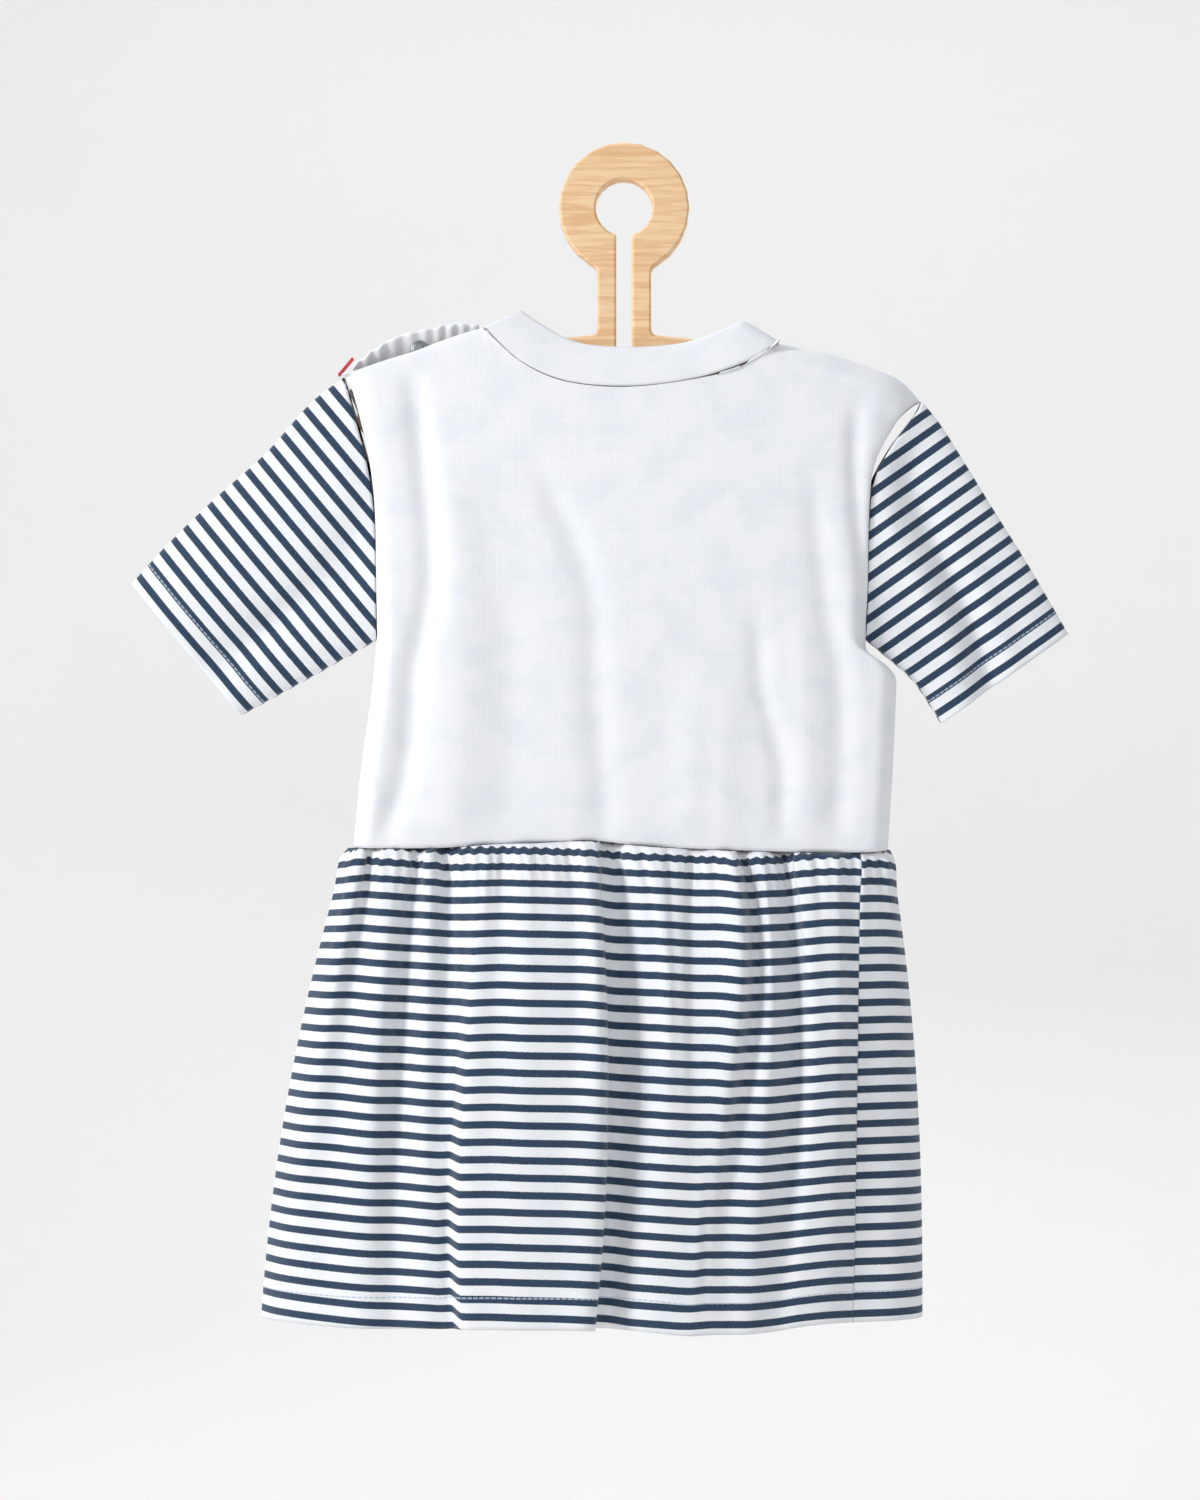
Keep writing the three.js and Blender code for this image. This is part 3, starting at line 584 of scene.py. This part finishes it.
FRONT_NECK = [
    (-74, -88), (-66, -108), (-50, -126), (-25, -137), (0, -140.3), (25, -137), (50, -126),
    (70, -106), (81.6, -86.8),
]
UNDERLAP_SEAM = [(-148, -111), (-134, -105.5), (-120, -99.5), (-102, -95), (-85, -91.5), (-74, -88)]
UNDERLAP_TOP = [(-144, -100.6), (-138.9, -96.2), (-121.4, -84.6), (-102.8, -79.6), (-85, -77), (-74, -78.4)]
LEFT_TIP, RIGHT_TIP = LEFT_EDGE[-1][1], RIGHT_EDGE[-1][1]
LEFT_CORNER, RIGHT_CORNER = -74, 81.6
WAIST_Z, TIP_Z, UNDERARM_Z = -353, -104.4, -243.5
SIDE_ROUND, SIDE_U, SHOULDER_ROUND, SHOULDER_V = 0.04, 0.06, 10, 0.08

BACK_FOLDS = [
    # path as (z, x) rows from low to high, depth (a trough is positive), width
    ([(-345, -124), (-309, -114), (-256, -109), (-217, -101), (-164, -104), (-106, -111)], 3.0, 7),
    ([(-345, -92), (-240, -86), (-150, -94)], -2.2, 16),
    ([(-346, -10), (-322, -11), (-270, -15), (-230, -16), (-206, -21), (-153, -44)], 1.8, 8),
    ([(-345, 34), (-300, 36), (-262, 38)], -1.2, 9),
    ([(-346, 82), (-309, 82), (-270, 72), (-230, 69)], 1.9, 6),
    ([(-345, 52), (-260, 52)], -1.3, 10),
    ([(-345, 112), (-270, 113), (-228, 106), (-164, 99)], 2.0, 7),
    ([(-247, 128), (-217, 127), (-185, 123), (-145, 121), (-119, 122)], 2.8, 5),
    ([(-345, 97), (-230, 92)], -1.0, 7),
    ([(-128, 138), (-112, 142)], 1.6, 4),
    ([(-345, -60), (-290, -58), (-215, -62)], 1.0, 12),
]
FRONT_FOLDS = [
    ([(-345, -110), (-240, -104), (-130, -112)], 2.2, 8),
    ([(-345, -40), (-250, -36), (-180, -30)], 1.6, 10),
    ([(-345, 20), (-260, 16), (-190, 20)], 1.4, 9),
    ([(-345, 84), (-250, 80), (-150, 92)], 2.2, 8),
]


# %% Bodice shapes
def troughs(x, z, folds):
    """Sum of the folds' depths at x and z: each is a bell across its path that fades at both ends."""
    total = np.zeros_like(x)
    for path, depth, width in folds:
        low, high = path[0][0], path[-1][0]
        centre = along(path, np.clip(z, low, high))
        fade = rise(z, low - 12, low + 12) * (1 - rise(z, high - 25, high + 12))
        total += depth * np.exp(-((x - centre) / width) ** 2) * fade
    return total


def bodice_grid(facing, depth, stand, top_z, lip_y, folds):
    """Grid of a panel: side turns, the roll over the shoulder, and the folds."""
    u = np.concatenate([np.linspace(0, SIDE_U, 9), np.linspace(SIDE_U, 1 - SIDE_U, 150)[1:-1],
                        np.linspace(1 - SIDE_U, 1, 9)])
    corners = [(corner - LEFT_TIP) / (RIGHT_TIP - LEFT_TIP) for corner in (LEFT_CORNER, RIGHT_CORNER)]
    marks = [SIDE_U + (q - SIDE_ROUND) / (1 - 2 * SIDE_ROUND) * (1 - 2 * SIDE_U) for q in corners]
    marks = [m if facing < 0 else 1 - m for m in marks]
    u = np.unique(np.concatenate([u] + [[m - 0.0008, m + 0.0008] for m in marks]))[:, None]
    v = np.concatenate([np.linspace(0, 1 - SHOULDER_V, 100), np.linspace(1 - SHOULDER_V, 1, 14)[1:]])[None, :]
    inward = np.minimum(u, 1 - u)
    turn = np.clip(inward / SIDE_U, 0, 1) * np.pi / 2
    q = np.where(inward < SIDE_U, SIDE_ROUND * (1 - np.cos(turn)),
                 SIDE_ROUND + (inward - SIDE_U) / (1 - 2 * SIDE_U) * (1 - 2 * SIDE_ROUND))
    full = np.sin(turn)
    q = np.where(u < 0.5, q, 1 - q)
    part = q if facing < 0 else 1 - q
    roll = np.clip((v - (1 - SHOULDER_V)) / SHOULDER_V, 0, 1) * np.pi / 2
    climb = np.clip(v / (1 - SHOULDER_V), 0, 1)
    x_top = mix(LEFT_TIP, RIGHT_TIP, part)
    left = along(LEFT_EDGE, mix(WAIST_Z, LEFT_EDGE[-1][0], v))
    right = along(RIGHT_EDGE, mix(WAIST_Z, RIGHT_EDGE[-1][0], v))
    x = mix(left, right, part)
    z = mix(along(WAIST_SEAM, x) + 0.1, top_z(x_top) - SHOULDER_ROUND, climb) + SHOULDER_ROUND * np.sin(roll)
    nominal = mix(WAIST_Z, TIP_Z, v)
    bulge = along([(-353, depth[0]), (-220, depth[1]), (-110, depth[2]), (-80, depth[2])], z)
    c = np.clip((nominal - UNDERARM_Z) / (TIP_Z - UNDERARM_Z), 0, 1)
    edge = stand * np.sqrt(np.sin(np.pi * c))
    base = facing * (0.1 + edge + (bulge - edge) * full)
    base = base - facing * troughs(x, z, folds) * full
    lip = lip_y(x_top)
    y = np.where(np.isnan(lip), base, mix(np.nan_to_num(lip), base, np.cos(roll)))
    grid = np.stack(np.broadcast_arrays(x, y, z), axis=2)
    flat = np.stack([-facing * grid[..., 0], grid[..., 2]], axis=2)
    cut = np.stack([grid[..., 0], (top_z(x_top) + 0 * z) - grid[..., 2]], axis=2)
    return grid, flat, cut


def back_top(x):
    """Height of the back's upper edge: open shoulder, neck, closed shoulder."""
    return np.where(x < LEFT_CORNER, along(LEFT_SHOULDER, x),
                    np.where(x < RIGHT_CORNER, along(BACK_NECK, x) - 0.2, along(RIGHT_SHOULDER, x)))


def front_top(x):
    """Height of the front's upper edge."""
    return np.where(x < LEFT_CORNER, along(UNDERLAP_SEAM, x) - 0.2,
                    np.where(x < RIGHT_CORNER, along(FRONT_NECK, x) - 0.2, along(RIGHT_SHOULDER, x)))


def shoulder_lip(at_left, at_right):
    """Depth of a panel's upper edge as a function of x: none is set along the neck."""
    return lambda x: np.where(x < LEFT_CORNER, at_left, np.where(x < RIGHT_CORNER, np.nan, at_right))


back = bodice_grid(-1, (15, 17, 12.5), 11.5, back_top, shoulder_lip(-11.0, -0.1), BACK_FOLDS)
front = bodice_grid(1, (13, 15, 13.5), 10.5, front_top, shoulder_lip(1.5, 0.1), FRONT_FOLDS)
bodice_back = cloth("bodice_back_cloth", *back, white_jersey, 1.0, replaces=("bodice_back",))
bodice_front = cloth("bodice_front_cloth", *front, white_jersey, 1.0, replaces=("bodice_front",))
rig.sheet(bodice_back, flat=(0.32, 0.28), area=0.078, held="hung", rests_on=["hanger"])
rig.sheet(bodice_front, flat=(0.32, 0.28), area=0.074, held="hung", rests_on=["hanger"])

# %% [markdown]
# ## Sleeves
# Each sleeve is one tube pressed flat between its upper fold and its underarm seam. The stripes are
# counted from the cuff. `creases` push the layer that shows in or out along lines from armhole to cuff.

# %% Sleeve tables
LEFT_SLEEVE = dict(
    side=-1,
    top=[(-148.6, -104.4), (-166, -118), (-190, -144.8), (-217, -169), (-243, -194.3), (-260.3, -213.4)],
    under=[(-131.4, -243.4), (-164.3, -262.1), (-202.2, -283)],
    near=(11, 9), far=(10, 8), edge=LEFT_EDGE,
    creases=[(0.72, 0.66, 2.6, 0.10), (0.38, 0.30, -1.6, 0.16), (0.55, 0.78, 1.4, 0.08)],
)
RIGHT_SLEEVE = dict(
    side=1,
    top=[(157.9, -117.4), (166.5, -128), (175.6, -142), (195, -173.6), (213.3, -202.8), (235, -240)],
    under=[(131.4, -243), (141.2, -252.2), (154, -264.8), (163.2, -279.3), (168, -287.3)],
    near=(11, 8), far=(10, 10), edge=RIGHT_EDGE,
    creases=[(0.16, 0.62, 6.0, 0.10), (0.42, 0.86, -2.0, 0.10), (0.05, 0.30, 1.2, 0.08)],
)
ARMHOLE_GAP = 0.2
SLEEVE_COLUMNS, SLEEVE_ROWS = 120, 70


# %% Sleeve shapes
def sleeve_grid(side, top, under, near, far, edge, creases):
    """Grid of a sleeve: u goes round from the underarm, v from the armhole to the cuff."""
    turn = 2 * np.pi * np.arange(SLEEVE_COLUMNS)[:, None] / SLEEVE_COLUMNS
    t = np.linspace(0, 1, SLEEVE_ROWS)[None, :]
    c = (1 + np.cos(turn)) / 2

    def arm(rows):
        x = mix(rows[0][0], rows[-1][0], t)
        return x, along([(side * a, b) for a, b in rows], side * x)

    (x_top, z_top), (x_under, z_under) = arm(top), arm(under)
    z_arm = mix(top[0][1], under[0][1], c)
    bow = along(edge, np.minimum(z_arm, edge[-1][0])) + side * ARMHOLE_GAP - mix(top[0][0], under[0][0], c)
    x = mix(x_top, x_under, c) + bow * (1 - t) ** 1.5
    z = mix(z_top, z_under, c)
    round_ = np.sin(turn)
    shows = side * round_ < 0
    reach = np.where(shows, mix(near[0], near[1], t), mix(far[0], far[1], t))
    y = side * np.sign(round_) * reach * np.sqrt(np.abs(round_))
    across = 1 - c
    for at_armhole, at_cuff, depth, width in creases:
        line = mix(at_armhole, at_cuff, t)
        bell = np.exp(-((across - (1 - line)) / width) ** 2)
        y = y + np.where(shows, depth, -0.5 * depth) * bell * np.abs(round_) ** 0.5 * rise(t, 0, 0.15)
    grid = np.stack([x, y, z], axis=2)
    cuff = np.array([x_under[0, -1] - x_top[0, -1], z_under[0, -1] - z_top[0, -1]])
    cuff /= np.linalg.norm(cuff)
    normal = np.array([-cuff[1], cuff[0]])
    from_cuff = (grid[..., 0] - x_top[0, -1]) * normal[0] + (grid[..., 2] - z_top[0, -1]) * normal[1]
    from_cuff = np.abs(from_cuff)
    around = np.broadcast_to(distances(grid, 0)[:, -1:], x.shape)
    layer = np.where(shows, 0.0, STRIPE_PITCH * 0.35)
    return grid, np.stack([around, from_cuff + layer - 5.5], axis=2), np.stack([around, from_cuff], axis=2)


sleeves = {}
for name, table, flat, area in (("sleeve_left", LEFT_SLEEVE, (0.29, 0.14), 0.031),
                                ("sleeve_right", RIGHT_SLEEVE, (0.27, 0.13), 0.025)):
    sleeves[name] = cloth(name + "_cloth", *sleeve_grid(**table), striped_sleeve, 1.0, ring=True,
                          replaces=(name,), slot="striped_jersey")
    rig.sheet(sleeves[name], flat=flat, area=area, held="hung", rests_on=["bodice_back_cloth"])

# %% [markdown]
# ## Neck band and shoulder opening
# The neck band is one strip of doubled jersey. It starts on the left of the back, turns round the
# right side of the neck, and ends behind its own start. The front's binding ripples along the opening.

# %% Strips
BAND_LOWER = [
    (-73.5, -79.9, -12), (-58.3, -94.8, -12.6), (-34, -107, -12.8), (0.5, -110.7, -13), (40, -105.9, -12.8),
    (69.4, -95.2, -12.2), (79, -88, -9), (82, -85.6, 0), (79, -88, 9), (69, -106, 11.4),
    (49.6, -125.5, 12), (24.8, -136.5, 12.4), (0, -139.8, 12.6), (-24.8, -136.5, 12.4),
    (-49.6, -125.5, 12), (-65.3, -107.7, 11.4), (-72, -90, 7.5), (-72.5, -80, 1.5),
]
BAND_UPPER = [
    (-54.1, -70.5, -8.6), (-44, -77.2, -8.8), (-26, -86.7, -8.9), (-0.8, -89.6, -8.9), (31.6, -87.3, -8.8),
    (52, -80.2, -8.7), (61, -76, -7.4), (64, -74.9, 0), (61, -78, 7.4), (54, -93, 9),
    (39, -107.5, 9.4), (20, -116.5, 9.6), (0, -119.3, 9.6), (-20, -116.5, 9.6),
    (-39, -107.5, 9.2), (-51, -93, 8.6), (-58, -78, 5.4), (-60.5, -70, 1),
]


def strip_grid(lower, upper, columns, rows, crown, ripple=0.0):
    """Grid of a strip between two edges of (x, z, y) rows: crown rounds it out, ripple waves its upper edge."""
    turns = np.linspace(0, len(lower) - 1, columns)
    low, high = (centripetal([(x, y, z) for x, z, y in rows_], turns, False) for rows_ in (lower, upper))
    v = np.linspace(0, 1, rows)[None, :, None]
    grid = mix(low[:, None, :], high[:, None, :], v)
    across = np.gradient(grid, axis=0)
    up = np.gradient(grid, axis=1)
    out = np.cross(across, up)
    out /= np.linalg.norm(out, axis=2, keepdims=True)
    length = distances(grid, 0)[:, :1, None]
    wave = np.sin(2 * np.pi * length / 7.5 + 1.3 * np.sin(length / 9)) * v
    grid = grid + out * (crown * np.sin(np.pi * v) ** 0.6 + ripple * wave)
    grid[..., 2] += (0.6 * ripple * np.sin(2 * np.pi * length / 9.5) * v)[..., 0]
    around = distances(grid, 0)
    upwards = distances(grid, 1)
    return grid, np.stack([around, upwards], axis=2), np.stack([around, upwards], axis=2)


neck_band = cloth("neck_band_cloth", *strip_grid(BAND_LOWER, BAND_UPPER, 260, 14, 0.6), band_jersey, 1.7,
                  replaces=("neck_band",))
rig.sheet(neck_band, flat=(0.44, 0.023), held="hung", rests_on=["bodice_back_cloth"])

edge_x = np.linspace(-143.2, -76.5, 9)
underlap_rows = [[(x, float(along(rows, x)) + lift, y) for x in edge_x]
                 for rows, lift, y in ((UNDERLAP_SEAM, 0.2, 1.5), (UNDERLAP_TOP, 0, -6.2))]
underlap = cloth("shoulder_underlap_cloth", *strip_grid(*underlap_rows, 130, 12, 0.3, 0.55),
                 placket_jersey, 1.3, replaces=("shoulder_underlap",))
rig.sheet(underlap, flat=(0.085, 0.018), held="gathered", rests_on=["bodice_front_cloth"])

# %% Hanger, stud and tape
for name, material in (("hanger", birch), ("press_stud", stud_metal), ("tape_end", red_tape)):
    solid = frame["nodes"][name]
    if solid.material_slots:
        solid.material_slots[0].link = "OBJECT"
        solid.material_slots[0].material = material

# %% [markdown]
# ## Stage, light and camera
# A pale round studio stands more than two metres off all round. The key light comes from the upper
# left. Weak ones fill from the right and the front, one lights the dress's far side, two lift the
# backdrop and the floor, and the pale sky fills the rest.

# %% Stage
FLOOR_Z = -1.15
STUDIO_RADIUS = 3.2
BEND = 1.2
WALL_TOP = 2.6


def studio():
    """A round floor that curves up into a wall, made by turning a profile about Z."""
    bend = np.linspace(0, np.pi / 2, 14)
    radii = np.concatenate([[0.02, 1.0], STUDIO_RADIUS - BEND + BEND * np.sin(bend), [STUDIO_RADIUS]])
    heights = np.concatenate([[0, 0], BEND * (1 - np.cos(bend)), [WALL_TOP]]) + FLOOR_Z
    angle = np.linspace(0, 2 * np.pi, 97)[:-1, None]
    points = np.stack([radii * np.cos(angle), radii * np.sin(angle), heights + 0 * angle], axis=2)
    count, rows = points.shape[:2]
    i, j = np.meshgrid(np.arange(count), np.arange(rows - 1), indexing="ij")
    a, b = i * rows + j, ((i + 1) % count) * rows + j
    faces = np.stack([a, a + 1, b + 1, b], axis=2).reshape(-1, 4)
    mesh = bpy.data.meshes.new("studio")
    mesh.from_pydata(points.reshape(-1, 3), [], faces.tolist())
    mesh.polygons.foreach_set("use_smooth", np.ones(len(faces), bool))
    stage = bpy.data.objects.new("studio", mesh)
    bpy.context.scene.collection.objects.link(stage)
    material, tree, shader = new_material("studio_paint")
    noise = node(tree, "ShaderNodeTexNoise", Scale=3.0).outputs[0]
    tree.links.new(blend_colour(tree, noise, linear("F7F6F4"), linear("F1F0EE")), shader.inputs["Base Color"])
    shader.inputs["Roughness"].default_value = 0.95
    mesh.materials.append(material)
    return stage


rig.stage(studio())


def area_light(name, place, aim, size, power, code):
    """A square soft light at place that looks at aim."""
    lamp = bpy.data.lights.new(name, "AREA")
    lamp.size = size
    lamp.energy = power
    lamp.color = linear(code)[:3]
    holder = bpy.data.objects.new(name, lamp)
    bpy.context.scene.collection.objects.link(holder)
    holder.location = place
    direction = np.array(aim) - np.array(place)
    yaw = math.atan2(direction[1], direction[0])
    pitch = math.acos(-direction[2] / np.linalg.norm(direction))
    holder.rotation_euler = (pitch, 0, yaw - math.pi / 2)
    return holder


AIM = (0, 0, -0.33)
area_light("key", (-1.75, -0.95, 0.55), AIM, 0.45, 32, "FFFFFF")
area_light("fill", (1.4, -1.9, 0.2), AIM, 1.6, 1.4, "E9F0FF")
area_light("front", (0, -2.2, 0.6), AIM, 1.8, 2.6, "F6F9FF")
area_light("rear", (0.6, 2.2, 0.7), AIM, 1.8, 9, "FFFFFF")
area_light("backdrop", (0, 0.9, 1.7), (0, 3.2, -0.9), 1.6, 18, "FFFFFF")
area_light("floor_glow", (0, 0.4, 1.9), (0, 1.2, -1.2), 1.6, 4, "FFFFFF")
world = bpy.data.worlds.new("sky")
bpy.context.scene.world = world
world.use_nodes = True
world.node_tree.nodes["Background"].inputs["Color"].default_value = linear("EDF2FA")
world.node_tree.nodes["Background"].inputs["Strength"].default_value = 0.5
bpy.context.scene.view_settings.view_transform = "Standard"

# %% Camera
CAMERA_DISTANCE = 1.104
lens = bpy.data.cameras.new("camera")
lens.lens = 50
lens.sensor_width = 36
camera = bpy.data.objects.new("camera", lens)
bpy.context.scene.collection.objects.link(camera)
camera.location = (-0.0127, -CAMERA_DISTANCE, -0.3016)
camera.rotation_euler = (math.pi / 2, 0, 0)
bpy.context.scene.camera = camera

# %% Sizes, and the end
with open("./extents.json", "w") as out:
    json.dump({"cad": [list(map(float, p)) for p in cad_box],
               "visual": [list(map(float, p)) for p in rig.bounds()]}, out)
print(open("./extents.json").read())
